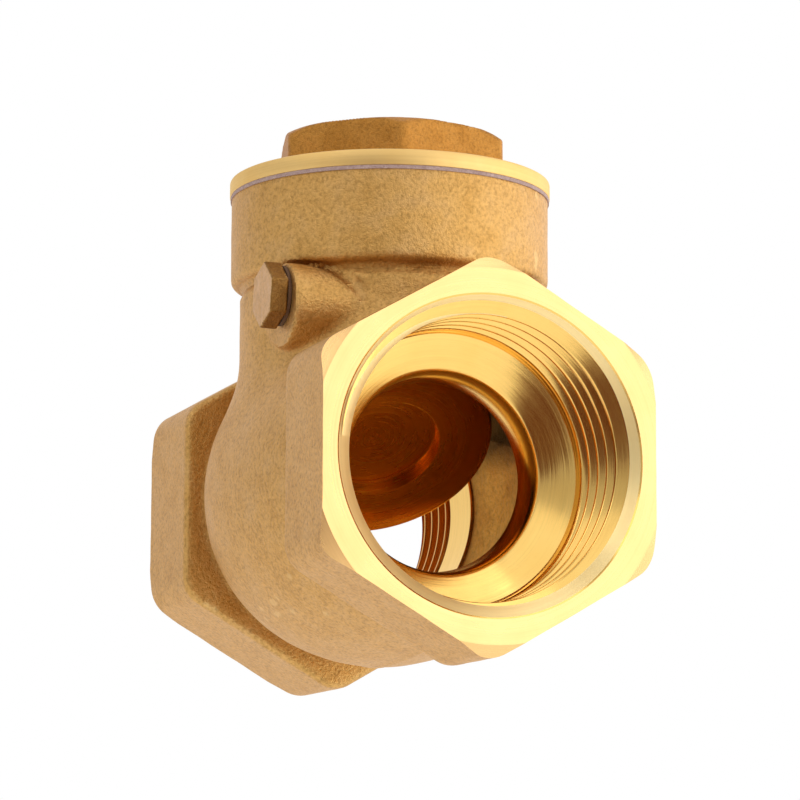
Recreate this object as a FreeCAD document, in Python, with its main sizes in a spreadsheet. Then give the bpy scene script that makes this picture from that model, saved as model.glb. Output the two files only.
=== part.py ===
import FreeCAD, Part
import math
import os

import Sketcher

# A brass swing check valve with female pipe threads at both ends.
#
# Row frame: the origin is the centre of the inlet end face, +X runs out of the inlet along the
# pipe axis (so the flow runs towards -X), and +Z runs up the neck to the cap.  The hinge pin's
# plug is on the -Y side.
#
# The housing pieces are drawn about the point where the neck axis crosses the pipe axis.  The
# clapper pieces are drawn about the hinge axis with the clapper shut, and their Placement then
# swings them open.

DIMENSIONS = {
    # end hexagons
    "half_length": 31.0,
    "across_flats": 37.5,
    "inlet_hex_back": 18.4,
    "outlet_hex_back": 16.7,
    "hex_corner_round": 3.4,
    "end_face_radius": 19.8,
    "end_bevel_depth": 1.5,
    # barrel-shaped chamber
    "belly_radius": 19.67,
    "belly_middle": -1.5,
    "belly_outlet_arc": 34.0,
    "belly_inlet_arc": 93.0,
    # neck and collar
    "neck_radius": 17.0,
    "collar_radius": 18.06,
    "collar_taper_low": 22.4,
    "collar_taper_high": 23.9,
    "collar_top": 33.0,
    "neck_bore_radius": 15.2,
    "neck_bore_floor": 14.0,
    "neck_flat": 12.4,
    # pipe threads, drawn as bores at the thread's crest radius
    "thread_crest_radius": 15.146,
    "mouth_radius": 16.93,
    "mouth_depth": 1.784,
    "inlet_thread_end": 18.6,
    "outlet_thread_end": 18.6,
    "relief_radius": 14.9,
    "relief_end": 12.0,
    # inlet shoulder, throat and seat
    "shoulder_end": 16.8,
    "lip_radius": 11.1,
    "throat_front": 15.7,
    "throat_radius": 10.76,
    "seat_bore_radius": 10.4,
    "seat_face": 12.6,
    "seat_wall": 13.8,
    "seat_outer_radius": 12.7,
    # inside of the chamber
    "chamber_radius": 16.4,
    "chamber_arc": 47.3,
    # hinge
    "hinge_x": 10.0,
    "hinge_z": 19.4,
    "pin_radius": 1.75,
    "pin_bore_radius": 1.8,
    "pin_plug_end": 12.7,
    "pin_blind_end": 12.7,
    "pin_bore_end": 12.8,
    "pin_bevel": 0.3,
    "boss_z": 18.35,
    "boss_radius": 4.7,
    "boss_face": 16.2,
    "blind_boss_face": 13.9,
    # pin plug and its washer
    "plug_shank_radius": 2.5,
    "plug_hole_radius": 2.55,
    "plug_hole_end": 12.9,
    "plug_shank_length": 3.2,
    "plug_across_flats": 6.4,
    "plug_head_height": 2.0,
    "plug_head_bevel": 0.3,
    "plug_shank_bevel": 0.4,
    "plug_washer_radius": 3.3,
    "plug_washer_thickness": 0.35,
    # cap and gasket
    "gasket_thickness": 0.4,
    "gasket_radius": 18.16,
    "gasket_inner_gap": 0.2,
    "flange_radius": 18.24,
    "flange_thickness": 1.8,
    "cap_hex_corner": 14.06,
    "cap_hex_round": 1.2,
    "cap_top": 40.25,
    "cap_bevel_radius": 12.5,
    "cap_bevel_depth": 1.1,
    "spigot_radius": 15.15,
    "spigot_bore": 12.6,
    "spigot_bottom": 26.2,
    "spigot_bevel": 0.8,
    "flange_bevel": 0.2,
    "cap_hollow_top": 33.8,
    # clapper
    "open_angle": 51.5,
    "seat_gap": 0.05,
    "disc_radius": 13.5,
    "disc_edge": 0.35,
    "disc_rim": 3.4,
    "disc_back": 4.4,
    "disc_back_radius": 6.0,
    "recess_radius": 7.25,
    "recess_depth": 1.9,
    "recess_bevel": 0.3,
    "disc_back_bevel": 0.8,
    "stud_radius": 2.5,
    "stud_bevel": 0.4,
    "eye_bore_radius": 2.56,
    "stack_gap": 0.1,
    "arm_thickness": 3.0,
    "eye_radius": 6.0,
    "hub_radius": 3.2,
    "hub_width": 13.0,
    "arm_half_width": 5.0,
    "rib_width": 8.0,
    "disc_washer_radius": 5.0,
    "disc_washer_thickness": 0.8,
    "nut_across_flats": 8.0,
    "nut_thickness": 3.2,
    "nut_bevel": 0.4,
    "stud_proud": 0.6,
    "sliding_gap": 0.02,
}

doc = FreeCAD.newDocument("check_valve")
sheet = doc.addObject("Spreadsheet::Sheet", "sizes")
for row, (alias, value) in enumerate(DIMENSIONS.items(), start=1):
    sheet.set(f"A{row}", alias)
    sheet.set(f"B{row}", str(value))
    sheet.setAlias(f"B{row}", alias)
doc.recompute()


def bound(text):
    """An expression in plain alias names, rewritten to read them from the sheet."""
    words = []
    for word in text.replace("(", "( ").replace(")", " )").split():
        words.append(f"sizes.{word}" if word in DIMENSIONS else word)
    return " ".join(words)


def value_of(text):
    return float(sheet.evalExpression(bound(text)))


def new_body(name):
    body = doc.addObject("PartDesign::Body", name)
    body.Label = name
    return body


def new_sketch(body, name, role, shift=("0", "0", "0")):
    """A sketch on one of the body's own origin planes, shifted in the sketch's own axes."""
    sketch = body.newObject("Sketcher::SketchObject", name)
    plane = next(f for f in body.Origin.OriginFeatures if f.Role == role)
    sketch.AttachmentSupport = [(plane, "")]
    sketch.MapMode = "FlatFace"
    for letter, text in zip("xyz", shift):
        if text != "0":
            sketch.setExpression(f"AttachmentOffset.Base.{letter}", bound(text))
    return sketch


def pin_point(sketch, geo, end, across, up):
    """Fix one end of a sketch line or arc at coordinates read from the sheet."""
    for kind, axis, text in (("DistanceX", -2, across), ("DistanceY", -1, up)):
        if text is None:
            continue
        if text == "0":
            sketch.addConstraint(Sketcher.Constraint("PointOnObject", geo, end, axis))
            continue
        place = value_of(text)
        index = sketch.addConstraint(Sketcher.Constraint(kind, -1, 1, geo, end, place))
        sketch.setExpression(f"Constraints[{index}]", bound(text))


def outline(sketch, corners):
    """A closed outline. A corner is (across, up), or (across, up, radius) where an arc of that
    radius, bulging away from the sketch's horizontal axis, leads to the next corner."""
    points = [FreeCAD.Vector(value_of(c[0]), value_of(c[1]), 0) for c in corners]
    count = len(corners)
    starts = []
    for i, corner in enumerate(corners):
        here, there = points[i], points[(i + 1) % count]
        if len(corner) == 2:
            geo = sketch.addGeometry(Part.LineSegment(here, there), False)
            starts.append((geo, 1, 2))
            continue
        radius = value_of(corner[2])
        chord = there - here
        middle = (here + there) * 0.5
        rise = math.sqrt(radius**2 - (chord.Length / 2) ** 2)
        normal = FreeCAD.Vector(-chord.y, chord.x, 0).normalize()
        if normal.y > 0:
            normal = normal * -1
        centre = middle + normal * rise
        circle = Part.Circle(centre, FreeCAD.Vector(0, 0, 1), radius)
        first = math.atan2(here.y - centre.y, here.x - centre.x)
        last = math.atan2(there.y - centre.y, there.x - centre.x)
        forward = first < last
        low, high = min(first, last), max(first, last)
        geo = sketch.addGeometry(Part.ArcOfCircle(circle, low, high), False)
        index = sketch.addConstraint(Sketcher.Constraint("Radius", geo, radius))
        sketch.setExpression(f"Constraints[{index}]", bound(corner[2]))
        starts.append((geo, 1, 2) if forward else (geo, 2, 1))
    for i, corner in enumerate(corners):
        geo, start, end = starts[i]
        next_geo, next_start, _ = starts[(i + 1) % count]
        pin_point(sketch, geo, start, corner[0], corner[1])
        sketch.addConstraint(
            Sketcher.Constraint("Coincident", geo, end, next_geo, next_start))
    return sketch


def circle_at(sketch, across, up, radius):
    centre = FreeCAD.Vector(value_of(across), value_of(up), 0)
    geo = sketch.addGeometry(
        Part.Circle(centre, FreeCAD.Vector(0, 0, 1), value_of(radius)), False)
    index = sketch.addConstraint(Sketcher.Constraint("Radius", geo, value_of(radius)))
    sketch.setExpression(f"Constraints[{index}]", bound(radius))
    pin_point(sketch, geo, 3, across, up)
    return sketch


def hexagon(sketch, corner_radius, first_angle):
    """A regular hexagon whose first corner is at first_angle degrees."""
    return outline(sketch, [
        (f"{corner_radius} * cos({angle} deg)", f"{corner_radius} * sin({angle} deg)")
        for angle in range(first_angle, first_angle + 360, 60)
    ])


def feature(body, kind, name, sketch, **settings):
    """Add a sketch-based feature; a cut must take material away, anything else must add it."""
    doc.recompute()
    before = body.Shape.Volume if body.Tip else 0.0
    item = body.newObject(f"PartDesign::{kind}", name)
    item.Profile = sketch
    for key, setting in settings.items():
        if isinstance(setting, str) and key in ("Length", "Length2"):
            item.setExpression(key, bound(setting))
        else:
            setattr(item, key, setting)
    sketch.Visibility = False
    doc.recompute()
    change = body.Shape.Volume - before
    is_cut = kind in ("Pocket", "Groove")
    if (is_cut and change >= 0) or (not is_cut and change <= 0):
        raise RuntimeError(f"{body.Label}.{name} changed the volume by {change:.3f} mm3")
    return item


def turn(body, kind, name, sketch, axis):
    return feature(body, kind, name, sketch, ReferenceAxis=(sketch, [axis]), Angle=360.0)


def round_edges(body, name, base, chosen, radius):
    names = [f"Edge{i}" for i, edge in enumerate(base.Shape.Edges, start=1) if chosen(edge)]
    if not names:
        raise RuntimeError(f"{name} found no edges")
    item = body.newObject("PartDesign::Fillet", name)
    item.Base = (base, names)
    item.setExpression("Radius", bound(radius))
    doc.recompute()
    return item


def runs_along(edge, axis):
    ends = [v.Point for v in edge.Vertexes]
    return len(ends) == 2 and abs((ends[1] - ends[0]).normalize().dot(axis)) > 0.9999


ALONG_X = FreeCAD.Vector(1, 0, 0)
ALONG_Z = FreeCAD.Vector(0, 0, 1)


def build_body():
    body = new_body("body")
    corner = "( across_flats / sqrt( 3 ) )"

    # the two end hexagons, with a corner pointing up
    inlet = new_sketch(body, "inlet_hex_outline", "YZ_Plane", ("0", "0", "inlet_hex_back"))
    hexagon(inlet, corner, 90)
    feature(body, "Pad", "inlet_hex", inlet, Length="half_length - inlet_hex_back")
    outlet = new_sketch(body, "outlet_hex_outline", "YZ_Plane", ("0", "0", "0 - half_length"))
    hexagon(outlet, corner, 90)
    outlet_hex = feature(body, "Pad", "outlet_hex", outlet,
                         Length="half_length - outlet_hex_back")
    round_edges(body, "hex_corner_rounds", outlet_hex,
                lambda edge: runs_along(edge, ALONG_X), "hex_corner_round")

    # turned bevels where the corners meet the end faces
    bevel = new_sketch(body, "end_bevels", "XZ_Plane")
    outside = "across_flats"
    for face, inward in (("half_length", "-"), ("0 - half_length", "+")):
        bevel_end = f"{face} {inward} end_bevel_depth"
        outline(bevel, [
            (face, "end_face_radius"),
            (face, outside),
            (bevel_end, outside),
            (bevel_end, "across_flats / sqrt( 3 ) + 0.2"),
        ])
    turn(body, "Groove", "end_bevel_cut", bevel, "H_Axis")

    # barrel-shaped chamber between the hexagons
    belly = new_sketch(body, "belly_outline", "XZ_Plane")
    outlet_end = "0 - outlet_hex_back - 1"
    inlet_end = "inlet_hex_back + 1"
    outlet_rise = f"sqrt( belly_outlet_arc ^ 2 - ( {outlet_end} - belly_middle ) ^ 2 )"
    inlet_rise = f"sqrt( belly_inlet_arc ^ 2 - ( {inlet_end} - belly_middle ) ^ 2 )"
    outline(belly, [
        (outlet_end, "0"),
        (outlet_end, f"belly_radius - belly_outlet_arc + {outlet_rise}", "belly_outlet_arc"),
        ("belly_middle", "belly_radius", "belly_inlet_arc"),
        (inlet_end, f"belly_radius - belly_inlet_arc + {inlet_rise}"),
        (inlet_end, "0"),
    ])
    turn(body, "Revolution", "belly", belly, "H_Axis")

    # neck and collar
    neck = new_sketch(body, "neck_outline", "XZ_Plane")
    outline(neck, [
        ("0", "0"),
        ("neck_radius", "0"),
        ("neck_radius", "collar_taper_low"),
        ("collar_radius", "collar_taper_high"),
        ("collar_radius", "collar_top"),
        ("0", "collar_top"),
    ])
    turn(body, "Revolution", "neck", neck, "V_Axis")

    # a boss for each end of the hinge pin: long on the plug's side, short on the blind side; as
    # cast, the bosses sit a little lower than the pin bore that is drilled through them
    bosses = new_sketch(body, "pin_boss_outline", "XZ_Plane", ("0", "0", "0 - blind_boss_face"))
    circle_at(bosses, "hinge_x", "boss_z", "boss_radius")
    feature(body, "Pad", "pin_bosses", bosses, Length="boss_face + blind_boss_face")

    # waterway: inlet mouth, thread, shoulder, throat, raised seat, chamber, relief, outlet
    waterway = new_sketch(body, "waterway_outline", "XZ_Plane")
    chamber_start = "sqrt( chamber_arc ^ 2 - ( seat_wall - belly_middle ) ^ 2 )"
    chamber_end = "sqrt( chamber_arc ^ 2 - ( 0 - relief_end - belly_middle ) ^ 2 )"
    outline(waterway, [
        ("half_length + 1", "0"),
        ("half_length + 1", "mouth_radius"),
        ("half_length", "mouth_radius"),
        ("half_length - mouth_depth", "thread_crest_radius"),
        ("inlet_thread_end", "thread_crest_radius"),
        ("shoulder_end", "lip_radius"),
        ("throat_front", "throat_radius"),
        ("seat_face", "seat_bore_radius"),
        ("seat_face", "seat_outer_radius"),
        ("seat_wall", "seat_outer_radius"),
        ("seat_wall", f"chamber_radius - chamber_arc + {chamber_start}", "chamber_arc"),
        ("0 - relief_end", f"chamber_radius - chamber_arc + {chamber_end}"),
        ("0 - relief_end", "relief_radius"),
        ("0 - outlet_thread_end", "relief_radius"),
        ("0 - outlet_thread_end", "thread_crest_radius"),
        ("mouth_depth - half_length", "thread_crest_radius"),
        ("0 - half_length", "mouth_radius"),
        ("0 - half_length - 1", "mouth_radius"),
        ("0 - half_length - 1", "0"),
    ])
    turn(body, "Groove", "waterway", waterway, "H_Axis")

    # neck bore down to a ledge above the seat, then a flat-sided opening into the chamber
    neck_bore = new_sketch(body, "neck_bore_outline", "XY_Plane", ("0", "0", "collar_top"))
    circle_at(neck_bore, "0", "0", "neck_bore_radius")
    feature(body, "Pocket", "neck_bore", neck_bore, Length="collar_top - neck_bore_floor")
    opening = new_sketch(body, "chamber_opening_outline", "XY_Plane",
                         ("0", "0", "neck_bore_floor"))
    flat_half = value_of("sqrt( neck_bore_radius ^ 2 - neck_flat ^ 2 )")
    radius = value_of("neck_bore_radius")
    turn_angle = math.atan2(flat_half, value_of("neck_flat"))
    circle = Part.Circle(FreeCAD.Vector(0, 0, 0), FreeCAD.Vector(0, 0, 1), radius)
    arc = opening.addGeometry(
        Part.ArcOfCircle(circle, turn_angle, 2 * math.pi - turn_angle), False)
    chord = opening.addGeometry(Part.LineSegment(
        FreeCAD.Vector(value_of("neck_flat"), -flat_half, 0),
        FreeCAD.Vector(value_of("neck_flat"), flat_half, 0)), False)
    opening.addConstraint(Sketcher.Constraint("Coincident", arc, 3, -1, 1))
    opening.addConstraint(Sketcher.Constraint("Coincident", arc, 1, chord, 2))
    opening.addConstraint(Sketcher.Constraint("Coincident", arc, 2, chord, 1))
    opening.addConstraint(Sketcher.Constraint("Vertical", chord))
    index = opening.addConstraint(Sketcher.Constraint("Radius", arc, radius))
    opening.setExpression(f"Constraints[{index}]", bound("neck_bore_radius"))
    index = opening.addConstraint(
        Sketcher.Constraint("DistanceX", -1, 1, chord, 1, value_of("neck_flat")))
    opening.setExpression(f"Constraints[{index}]", bound("neck_flat"))
    feature(body, "Pocket", "chamber_opening", opening, Length="neck_bore_floor")

    # pin bore: open to the plug on the -Y side, blind on the +Y side
    pin_bore = new_sketch(body, "pin_bore_outline", "XY_Plane", ("hinge_x", "0", "hinge_z"))
    outline(pin_bore, [
        ("0", "0 - boss_face - 1"),
        ("plug_hole_radius", "0 - boss_face - 1"),
        ("plug_hole_radius", "0 - plug_hole_end"),
        ("pin_bore_radius", "0 - plug_hole_end"),
        ("pin_bore_radius", "pin_bore_end"),
        ("0", "pin_bore_end"),
    ])
    turn(body, "Groove", "pin_bore", pin_bore, "V_Axis")
    return body


def build_cap():
    body = new_body("cap")
    turned = new_sketch(body, "cap_outline", "XZ_Plane")
    flange_low = "collar_top + gasket_thickness"
    flange_high = "collar_top + gasket_thickness + flange_thickness"
    outline(turned, [
        ("0", "spigot_bottom"),
        ("spigot_radius - spigot_bevel", "spigot_bottom"),
        ("spigot_radius", "spigot_bottom + spigot_bevel"),
        ("spigot_radius", flange_low),
        ("flange_radius", flange_low),
        ("flange_radius", f"{flange_high} - flange_bevel"),
        ("flange_radius - flange_bevel", flange_high),
        ("0", flange_high),
    ])
    turn(body, "Revolution", "flange_and_spigot", turned, "V_Axis")
    boss = new_sketch(body, "cap_hex_outline", "XY_Plane", ("0", "0", flange_high))
    hexagon(boss, "cap_hex_corner", 45)
    hex_pad = feature(body, "Pad", "cap_hex", boss, Length=f"cap_top - ( {flange_high} )")
    round_edges(body, "cap_hex_rounds", hex_pad,
                lambda edge: runs_along(edge, ALONG_Z)
                and math.hypot(*edge.CenterOfMass[:2]) < value_of("cap_hex_corner") + 0.1
                and edge.CenterOfMass.z > value_of(flange_high),
                "cap_hex_round")
    bevel = new_sketch(body, "cap_bevel_outline", "XZ_Plane")
    outline(bevel, [
        ("cap_bevel_radius", "cap_top"),
        ("cap_hex_corner + 1", "cap_top"),
        ("cap_hex_corner + 1", "cap_top - cap_bevel_depth"),
        ("cap_hex_corner", "cap_top - cap_bevel_depth"),
    ])
    turn(body, "Groove", "cap_bevel", bevel, "V_Axis")
    hollow = new_sketch(body, "cap_hollow_outline", "XY_Plane", ("0", "0", "cap_hollow_top"))
    circle_at(hollow, "0", "0", "spigot_bore")
    feature(body, "Pocket", "cap_hollow", hollow, Length="cap_hollow_top - spigot_bottom + 1")
    return body


def build_ring(name, role, axis, shift, bore, outer, low, high):
    """A flat washer: a rectangle turned about the sketch's axis."""
    body = new_body(name)
    sketch = new_sketch(body, f"{name}_outline", role, shift)
    rectangle = [(bore, low), (outer, low), (outer, high), (bore, high)]
    if axis == "H_Axis":
        rectangle = [(along, radius) for radius, along in rectangle]
    outline(sketch, rectangle)
    turn(body, "Revolution", f"{name}_ring", sketch, axis)
    return body


def build_hinge_pin():
    body = new_body("hinge_pin")
    sketch = new_sketch(body, "pin_outline", "XY_Plane", ("hinge_x", "0", "hinge_z"))
    outline(sketch, [
        ("0", "0 - pin_plug_end"),
        ("pin_radius - pin_bevel", "0 - pin_plug_end"),
        ("pin_radius", "pin_bevel - pin_plug_end"),
        ("pin_radius", "pin_blind_end - pin_bevel"),
        ("pin_radius - pin_bevel", "pin_blind_end"),
        ("0", "pin_blind_end"),
    ])
    turn(body, "Revolution", "pin", sketch, "V_Axis")
    return body


def build_pin_plug():
    body = new_body("pin_plug")
    seat = "( 0 - boss_face - plug_washer_thickness )"
    head = new_sketch(body, "plug_head_outline", "XZ_Plane",
                      ("hinge_x", "hinge_z", "boss_face + plug_washer_thickness"))
    hexagon(head, "( plug_across_flats / sqrt( 3 ) )", 80)
    feature(body, "Pad", "plug_head", head, Length="plug_head_height")
    bevel = new_sketch(body, "plug_bevel_outline", "XY_Plane", ("hinge_x", "0", "hinge_z"))
    outer = "plug_across_flats / sqrt( 3 )"
    outline(bevel, [
        ("plug_across_flats / 2", f"{seat} - plug_head_height"),
        (f"{outer} + 0.5", f"{seat} - plug_head_height"),
        (f"{outer} + 0.5", f"{seat} - plug_head_height + plug_head_bevel"),
        (outer, f"{seat} - plug_head_height + plug_head_bevel"),
    ])
    turn(body, "Groove", "plug_bevel", bevel, "V_Axis")
    shank = new_sketch(body, "plug_shank_outline", "XY_Plane", ("hinge_x", "0", "hinge_z"))
    outline(shank, [
        ("0", f"{seat} - plug_head_height / 2"),
        ("plug_shank_radius", f"{seat} - plug_head_height / 2"),
        ("plug_shank_radius", "plug_shank_length - boss_face - plug_shank_bevel"),
        ("plug_shank_radius - plug_shank_bevel", "plug_shank_length - boss_face"),
        ("0", "plug_shank_length - boss_face"),
    ])
    turn(body, "Revolution", "plug_shank", shank, "V_Axis")
    return body


DISC_FACE = "seat_face - hinge_x - seat_gap"
DISC_AXIS = "0 - hinge_z"
ARM_FRONT = f"{DISC_FACE} - disc_back - stack_gap"
ARM_BACK = f"{ARM_FRONT} - arm_thickness"
WASHER_FRONT = f"{ARM_BACK} - stack_gap"
NUT_FRONT = f"{WASHER_FRONT} - disc_washer_thickness"
STUD_END = f"{NUT_FRONT} - nut_thickness - stud_proud"


def build_clapper_arm():
    body = new_body("clapper_arm")
    hub = new_sketch(body, "arm_hub_outline", "XZ_Plane")
    circle_at(hub, "0", "0", "hub_radius")
    feature(body, "Pad", "arm_hub", hub, Length="hub_width", Midplane=True)

    # the plate hangs from the hub behind the disc and ends in a round eye
    plate = new_sketch(body, "arm_plate_outline", "YZ_Plane", ("0", "0", ARM_BACK))
    side = value_of("arm_half_width")
    eye = value_of("eye_radius")
    low = value_of(DISC_AXIS)
    corners = [
        FreeCAD.Vector(-eye, low, 0),
        FreeCAD.Vector(-side, 0, 0),
        FreeCAD.Vector(side, 0, 0),
        FreeCAD.Vector(eye, low, 0),
    ]
    lines = [plate.addGeometry(Part.LineSegment(corners[i], corners[i + 1]), False)
             for i in range(3)]
    circle = Part.Circle(FreeCAD.Vector(0, low, 0), FreeCAD.Vector(0, 0, 1), eye)
    arc = plate.addGeometry(Part.ArcOfCircle(circle, math.pi, 2 * math.pi), False)
    pin_point(plate, lines[0], 1, None, DISC_AXIS)
    pin_point(plate, lines[1], 1, "0 - arm_half_width", "0")
    pin_point(plate, lines[2], 1, "arm_half_width", "0")
    pin_point(plate, lines[2], 2, None, DISC_AXIS)
    pin_point(plate, arc, 3, "0", DISC_AXIS)
    for first, first_end, second, second_end in (
            (lines[0], 2, lines[1], 1), (lines[1], 2, lines[2], 1),
            (lines[2], 2, arc, 2), (arc, 1, lines[0], 1)):
        plate.addConstraint(
            Sketcher.Constraint("Coincident", first, first_end, second, second_end))
    index = plate.addConstraint(Sketcher.Constraint("Radius", arc, eye))
    plate.setExpression(f"Constraints[{index}]", bound("eye_radius"))
    feature(body, "Pad", "arm_plate", plate, Length="arm_thickness")

    # a thick root joins the plate to the hub
    root = new_sketch(body, "arm_root_outline", "XZ_Plane")
    outline(root, [
        (ARM_BACK, "0 - 2.5 * hub_radius"),
        (ARM_BACK, "0"),
        ("0 - 0.7 * hub_radius", "0.7 * hub_radius"),
        ("0", "0 - 0.6 * hub_radius"),
        (ARM_FRONT, "0 - 1.4 * hub_radius"),
        (ARM_FRONT, "0 - 2.5 * hub_radius"),
    ])
    feature(body, "Pad", "arm_root", root, Length="rib_width", Midplane=True)

    bore = new_sketch(body, "arm_pin_bore_outline", "XZ_Plane")
    circle_at(bore, "0", "0", "pin_bore_radius")
    feature(body, "Pocket", "arm_pin_bore", bore, Length="hub_width + 2", Midplane=True)
    eye_bore = new_sketch(body, "arm_eye_bore_outline", "YZ_Plane", ("0", "0", ARM_FRONT))
    circle_at(eye_bore, "0", DISC_AXIS, "eye_bore_radius")
    feature(body, "Pocket", "arm_eye_bore", eye_bore, Length="arm_thickness + 1")
    return body


def build_disc():
    body = new_body("disc")
    turned = new_sketch(body, "disc_outline", "XZ_Plane", (DISC_FACE, DISC_AXIS, "0"))
    outline(turned, [
        ("0 - recess_depth", "0"),
        ("0 - recess_depth", "recess_radius - recess_bevel"),
        ("recess_bevel - recess_depth", "recess_radius"),
        ("0", "recess_radius"),
        ("0", "disc_radius - disc_edge"),
        ("0 - disc_edge", "disc_radius"),
        ("disc_back_bevel - disc_rim", "disc_radius"),
        ("0 - disc_rim", "disc_radius - disc_back_bevel"),
        ("0 - disc_rim", "disc_back_radius + 1"),
        ("0 - disc_back", "disc_back_radius"),
        ("0 - disc_back", "stud_radius"),
        (f"{STUD_END} - ( {DISC_FACE} ) + stud_bevel", "stud_radius"),
        (f"{STUD_END} - ( {DISC_FACE} )", "stud_radius - stud_bevel"),
        (f"{STUD_END} - ( {DISC_FACE} )", "0"),
    ])
    turn(body, "Revolution", "disc_and_stud", turned, "H_Axis")
    return body


def build_disc_nut():
    body = new_body("disc_nut")
    blank = new_sketch(body, "nut_outline", "YZ_Plane",
                       ("0", DISC_AXIS, f"{NUT_FRONT} - nut_thickness"))
    hexagon(blank, "( nut_across_flats / sqrt( 3 ) )", 90)
    feature(body, "Pad", "nut_blank", blank, Length="nut_thickness")
    bevel = new_sketch(body, "nut_bevel_outline", "XZ_Plane", (NUT_FRONT, DISC_AXIS, "0"))
    outer = "nut_across_flats / sqrt( 3 )"
    outline(bevel, [
        ("0 - nut_thickness", "nut_across_flats / 2"),
        ("0 - nut_thickness", f"{outer} + 0.5"),
        ("nut_bevel - nut_thickness", f"{outer} + 0.5"),
        ("nut_bevel - nut_thickness", outer),
    ])
    turn(body, "Groove", "nut_bevel", bevel, "H_Axis")
    bore = new_sketch(body, "nut_bore_outline", "YZ_Plane", ("0", DISC_AXIS, NUT_FRONT))
    circle_at(bore, "0", "0", "stud_radius + sliding_gap")
    feature(body, "Pocket", "nut_bore", bore, Length="nut_thickness + 1")
    return body


housing = [
    build_body(),
    build_cap(),
    build_ring("cap_gasket", "XZ_Plane", "V_Axis", ("0", "0", "0"),
               "neck_bore_radius + gasket_inner_gap", "gasket_radius",
               "collar_top", "collar_top + gasket_thickness"),
    build_hinge_pin(),
    build_pin_plug(),
    build_ring("plug_washer", "XY_Plane", "V_Axis", ("hinge_x", "0", "hinge_z"),
               "plug_shank_radius + sliding_gap", "plug_washer_radius",
               "0 - boss_face - plug_washer_thickness", "0 - boss_face"),
]
clapper = [
    build_clapper_arm(),
    build_disc(),
    build_ring("disc_washer", "XZ_Plane", "H_Axis", ("0", DISC_AXIS, "0"),
               "stud_radius + sliding_gap", "disc_washer_radius", NUT_FRONT, WASHER_FRONT),
    build_disc_nut(),
]

for piece in housing:
    piece.setExpression("Placement.Base.x", bound("0 - half_length"))
swing = FreeCAD.Rotation(FreeCAD.Vector(0, 1, 0), value_of("open_angle"))
for piece in clapper:
    piece.Placement = FreeCAD.Placement(FreeCAD.Vector(0, 0, 0), swing)
    piece.setExpression("Placement.Base.x", bound("hinge_x - half_length"))
    piece.setExpression("Placement.Base.z", bound("hinge_z"))
doc.recompute()

for item in doc.Objects:
    if "Invalid" in item.State or "Error" in item.State:
        raise RuntimeError(f"{item.Label} did not recompute: {item.State}")
os.makedirs("parts", exist_ok=True)
for piece in housing + clapper:
    shape = piece.Shape
    if shape.isNull() or not shape.isValid() or len(shape.Solids) != 1:
        raise RuntimeError(f"{piece.Label} is not one valid solid")
    shape.exportStep(f"parts/{piece.Label}.step")
    print(f"{piece.Label}: {shape.Volume:.1f} mm3")
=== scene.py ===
import itertools
import math

import bmesh
import bpy
import numpy as np
from mathutils import Matrix, Vector


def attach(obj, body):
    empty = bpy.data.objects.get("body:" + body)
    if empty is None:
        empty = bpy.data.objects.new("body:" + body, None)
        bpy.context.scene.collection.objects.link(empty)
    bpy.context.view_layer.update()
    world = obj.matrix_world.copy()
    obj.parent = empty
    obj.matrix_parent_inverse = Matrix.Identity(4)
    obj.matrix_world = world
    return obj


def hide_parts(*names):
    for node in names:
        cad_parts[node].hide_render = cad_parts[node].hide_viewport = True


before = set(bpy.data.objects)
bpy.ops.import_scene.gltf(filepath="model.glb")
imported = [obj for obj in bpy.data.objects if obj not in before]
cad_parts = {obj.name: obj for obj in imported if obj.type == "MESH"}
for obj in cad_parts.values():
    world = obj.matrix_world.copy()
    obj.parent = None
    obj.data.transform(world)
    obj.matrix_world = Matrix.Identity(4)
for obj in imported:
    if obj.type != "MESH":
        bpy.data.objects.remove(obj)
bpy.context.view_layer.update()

# All shapes are worked out in millimetres about the valve's centre, where the neck's axis crosses
# the pipe's axis, with +X out of the inlet and +Z up the neck.  They are then moved to the frame.
MM = 0.001
HALF_LENGTH = 31.0
SEGMENTS = 160

# ---------------------------------------------------------------------------------------------
# Sizes, the same as the CAD model's
# ---------------------------------------------------------------------------------------------
ACROSS_FLATS = 37.5
INLET_HEX_BACK = 18.4
OUTLET_HEX_BACK = 16.7
HEX_CORNER_ROUND = 3.4
END_FACE_RADIUS = 19.8
END_BEVEL_DEPTH = 1.5
BELLY_RADIUS = 19.67
BELLY_MIDDLE = -1.5
BELLY_OUTLET_ARC = 34.0
BELLY_INLET_ARC = 93.0
NECK_RADIUS = 17.0
COLLAR_RADIUS = 18.06
COLLAR_TAPER_LOW = 22.4
COLLAR_TOP = 33.0
NECK_BORE_RADIUS = 15.2
NECK_BORE_FLOOR = 14.0
NECK_FLAT = 12.4
THREAD_CREST = 15.146
MOUTH_RADIUS = 16.93
MOUTH_DEPTH = 1.784
THREAD_END = 18.6
RELIEF_RADIUS = 14.9
RELIEF_END = 12.0
SHOULDER_END = 16.8
LIP_RADIUS = 11.1
THROAT_FRONT = 15.7
THROAT_RADIUS = 10.76
SEAT_BORE = 10.4
SEAT_FACE = 12.6
SEAT_WALL = 13.8
SEAT_OUTER = 12.7
CHAMBER_RADIUS = 16.4
CHAMBER_ARC = 47.3
HINGE_X = 10.0
HINGE_Z = 19.4
PIN_BORE = 1.8
BOSS_Z = 18.35
BOSS_RADIUS = 4.7
BOSS_FACE = 16.2
BLIND_BOSS_FACE = 13.9
PLUG_HOLE = 2.55
PLUG_HOLE_END = 12.9
PIN_BORE_END = 12.8
PLUG_FLATS = 6.4
PLUG_HEAD = 2.0
PLUG_TURN = math.radians(10.0)
PLUG_WASHER = 0.35
PLUG_SHANK = 2.5
PLUG_SHANK_LENGTH = 3.2
FLANGE_LOW = 33.4
FLANGE_HIGH = 35.2
FLANGE_RADIUS = 18.24
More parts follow.
